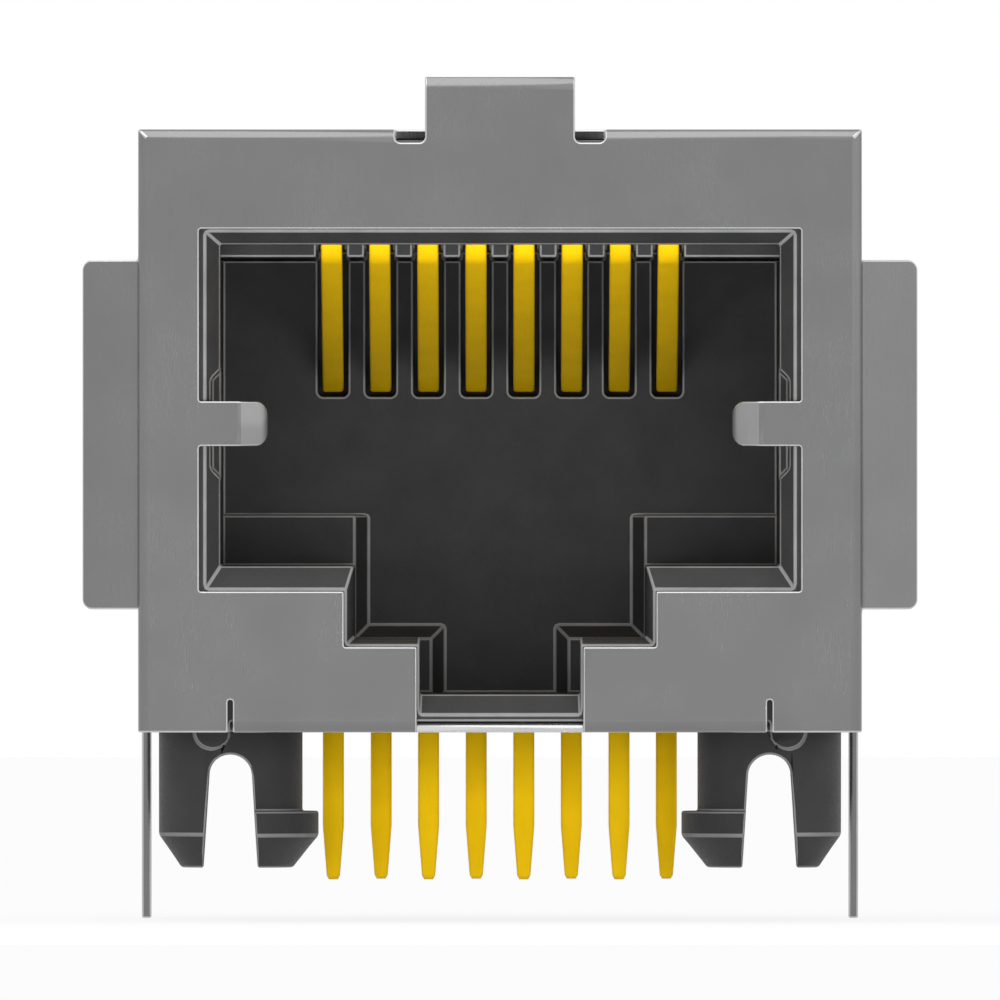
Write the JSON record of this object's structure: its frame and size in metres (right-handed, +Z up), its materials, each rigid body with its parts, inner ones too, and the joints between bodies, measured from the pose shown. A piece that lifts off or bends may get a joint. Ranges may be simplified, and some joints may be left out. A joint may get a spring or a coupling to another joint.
{
  "type": "rj45 board jack",
  "caption": "Shielded board-mounted modular jack with a front plug opening, sprung contacts, panel grounding fingers and split guide posts.",
  "frame": {"origin": "on the board's face, half way between the two guide posts", "axes": "+X to the right of someone facing the plug opening, +Y from the opening to the back, +Z up from the board"},
  "size_m": [0.0176, 0.0159, 0.0178],
  "materials": {
    "shield": "satin plated sheet",
    "housing": "fine matte moulding",
    "carrier": "fine matte moulding",
    "contact": "smooth gold plating"
  },
  "bodies": {
    "root": {"shield": "shield", "housing": "housing", "contact_carrier": "carrier", "tail_guide": "carrier", "contact_1": "contact", "contact_2": "contact", "contact_3": "contact", "contact_4": "contact", "contact_5": "contact", "contact_6": "contact", "contact_7": "contact", "contact_8": "contact"}
  },
  "joints": []
}
